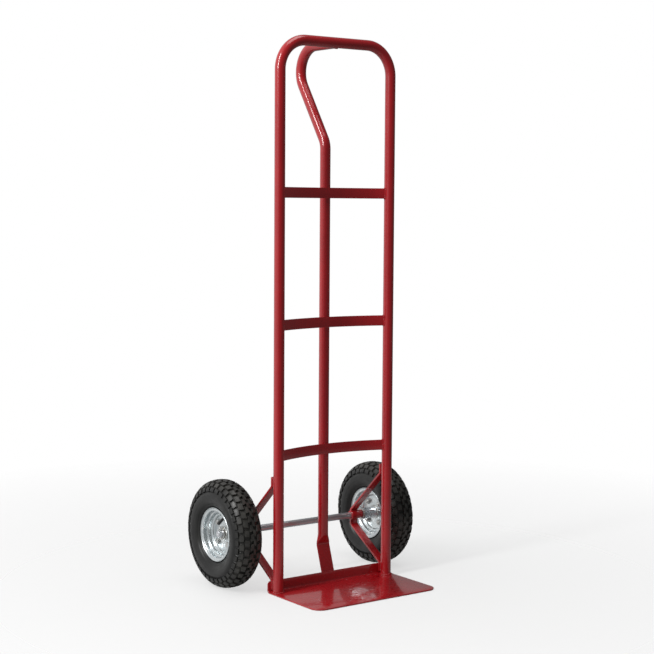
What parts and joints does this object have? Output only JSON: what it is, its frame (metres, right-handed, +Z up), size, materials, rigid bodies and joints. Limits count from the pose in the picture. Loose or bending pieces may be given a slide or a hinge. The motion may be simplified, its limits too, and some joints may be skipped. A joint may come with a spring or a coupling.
{
  "type": "hand truck",
  "caption": "Upright hand truck: welded tube frame with a looped P-shaped handle, bowed crossbars, folded toe plate and pneumatic wheels on a fixed axle.",
  "frame": {"origin": "on the floor, mid-width, in the plane of the two legs, on the underside of the toe plate", "axes": "+Z up; -Y to the front, where the toe plate reaches; +Y back to the wheels and the handle loop; +X to the right wheel seen from the front"},
  "size_m": [0.527, 0.4415, 1.3],
  "materials": {
    "red_paint": "glossy powder coat",
    "axle_steel": "bright zinc plated rod",
    "zinc_fasteners": "bright zinc plated",
    "rim_zinc": "bright galvanised pressing",
    "hub_zinc": "bright zinc plated tube",
    "bush_bronze": "oiled sintered bronze",
    "tyre_rubber": "moulded, satin sidewall",
    "tube_rubber": "satin",
    "cap_plastic": "moulded"
  },
  "bodies": {
    "frame": {"frame_tube": "red_paint", "handle_spine": "red_paint", "crossbar_top": "red_paint", "crossbar_middle": "red_paint", "crossbar_bottom": "red_paint", "toe_plate": "red_paint", "upper_strut_left": "red_paint", "upper_strut_right": "red_paint", "lower_strut_left": "red_paint", "lower_strut_right": "red_paint", "axle_sleeve_left": "red_paint", "axle_sleeve_right": "red_paint", "axle": "axle_steel", "inner_washer_left": "zinc_fasteners", "inner_washer_right": "zinc_fasteners", "outer_washer_left": "zinc_fasteners", "outer_washer_right": "zinc_fasteners", "split_pin_left": "zinc_fasteners", "split_pin_right": "zinc_fasteners"},
    "wheel_left": {"tyre_left": "tyre_rubber", "inner_tube_left": "tube_rubber", "rim_outer_left": "rim_zinc", "rim_inner_left": "rim_zinc", "hub_left": "hub_zinc", "hub_bush_outer_left": "bush_bronze", "hub_bush_inner_left": "bush_bronze", "rim_bolts_left": "zinc_fasteners", "rim_nuts_left": "zinc_fasteners", "valve_stem_left": "tube_rubber", "valve_cap_left": "cap_plastic"},
    "wheel_right": {"tyre_right": "tyre_rubber", "inner_tube_right": "tube_rubber", "rim_outer_right": "rim_zinc", "rim_inner_right": "rim_zinc", "hub_right": "hub_zinc", "hub_bush_outer_right": "bush_bronze", "hub_bush_inner_right": "bush_bronze", "rim_bolts_right": "zinc_fasteners", "rim_nuts_right": "zinc_fasteners", "valve_stem_right": "tube_rubber", "valve_cap_right": "cap_plastic"}
  },
  "joints": [
    {"name": "wheel_left_spin", "type": "hinge", "parent": "frame", "child": "wheel_left", "pos_m": [-0.2265, 0.1315, 0.129], "axis": [1, 0, 0], "continuous": true},
    {"name": "wheel_right_spin", "type": "hinge", "parent": "frame", "child": "wheel_right", "pos_m": [0.2265, 0.1315, 0.129], "axis": [1, 0, 0], "continuous": true}
  ]
}
